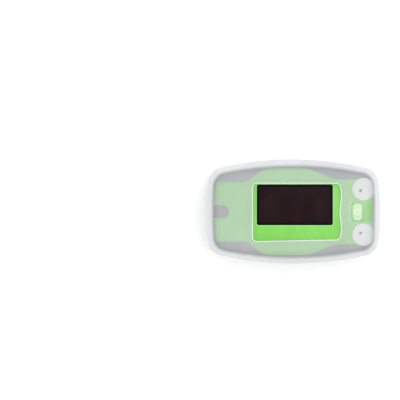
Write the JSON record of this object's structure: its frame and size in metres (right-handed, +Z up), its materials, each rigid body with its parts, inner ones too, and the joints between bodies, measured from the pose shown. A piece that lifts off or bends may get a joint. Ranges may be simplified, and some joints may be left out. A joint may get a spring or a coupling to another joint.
{
  "type": "fingertip pulse oximeter",
  "caption": "Clip-on fingertip pulse oximeter with a green animal-faced top, dark display and a frosted silicone cover.",
  "frame": {"origin": "centre of the bottom of the closed, covered instrument, on the surface it rests on", "axes": "+X towards the mouth where the finger goes in, +Z up through the display, +Y across, towards the side nearer the display"},
  "size_m": [0.0608, 0.0364, 0.0325],
  "materials": {
    "shell_grey": "fine satin texture",
    "frame_grey": "fine satin texture",
    "cell_jacket": "printed sleeve without text",
    "nickel_steel": "bright nickel plate",
    "pad_rubber": "matte silicone",
    "circuit_board": "solder mask",
    "dark_resin": "moulded resin",
    "clear_window": "clear resin",
    "cover_silicone": "frosted translucent",
    "panel_green": "smooth moulded",
    "eye_white": "smooth",
    "pupil_dark": "smooth",
    "display_gloss": "glossy black",
    "foam_black": "closed-cell foam",
    "emitter_white": "moulded",
    "button_green": "smooth",
    "symbol_white": "smooth inlay"
  },
  "bodies": {
    "lower_clip": {"lower_shell": "shell_grey", "lower_frame": "frame_grey", "battery_cell_a": "cell_jacket", "battery_cell_b": "cell_jacket", "battery_contacts": "nickel_steel", "battery_springs": "nickel_steel", "lower_finger_pad": "pad_rubber", "sensor_board": "circuit_board", "photodiode": "dark_resin", "photodiode_window": "clear_window", "hinge_pin": "nickel_steel", "torsion_spring": "nickel_steel", "lower_screws": "nickel_steel", "lower_cover": "cover_silicone"},
    "upper_clip": {"upper_shell": "shell_grey", "top_panel": "panel_green", "eye_discs": "eye_white", "eye_pupils": "pupil_dark", "display_lens": "display_gloss", "display_module": "dark_resin", "display_cushion": "foam_black", "main_board": "circuit_board", "board_parts": "dark_resin", "switch_body": "dark_resin", "upper_frame": "frame_grey", "upper_finger_pad": "pad_rubber", "light_emitter": "emitter_white", "emitter_window": "clear_window", "upper_screws": "nickel_steel", "upper_cover": "cover_silicone"},
    "power_button": {"power_button": "button_green", "button_symbol": "symbol_white"},
    "switch_plunger": {"switch_plunger": "dark_resin"},
    "battery_door": {"battery_door": "shell_grey"}
  },
  "joints": [
    {"name": "clip_hinge", "type": "hinge", "parent": "lower_clip", "child": "upper_clip", "pos_m": [-0.014, 0, 0.0203], "axis": [0, -1, 0], "range_deg": [0, 25], "stiffness_Nm_per_rad": 0.06, "springref_deg": -51.57, "deforming": ["torsion_spring"]},
    {"name": "button_press", "type": "slide", "parent": "upper_clip", "child": "power_button", "axis": [0, 0, -1], "range_m": [0, 0.00035], "stiffness_N_per_m": 30, "springref_m": -0.001},
    {"name": "plunger_press", "type": "slide", "parent": "upper_clip", "child": "switch_plunger", "axis": [0, 0, -1], "range_m": [0, 0.00035]},
    {"name": "door_slide", "type": "slide", "parent": "lower_clip", "child": "battery_door", "axis": [-1, 0, 0], "range_m": [0, 0.05]}
  ],
  "couplings": [
    {"joint": "plunger_press", "follows": "button_press", "ratio": 1}
  ]
}
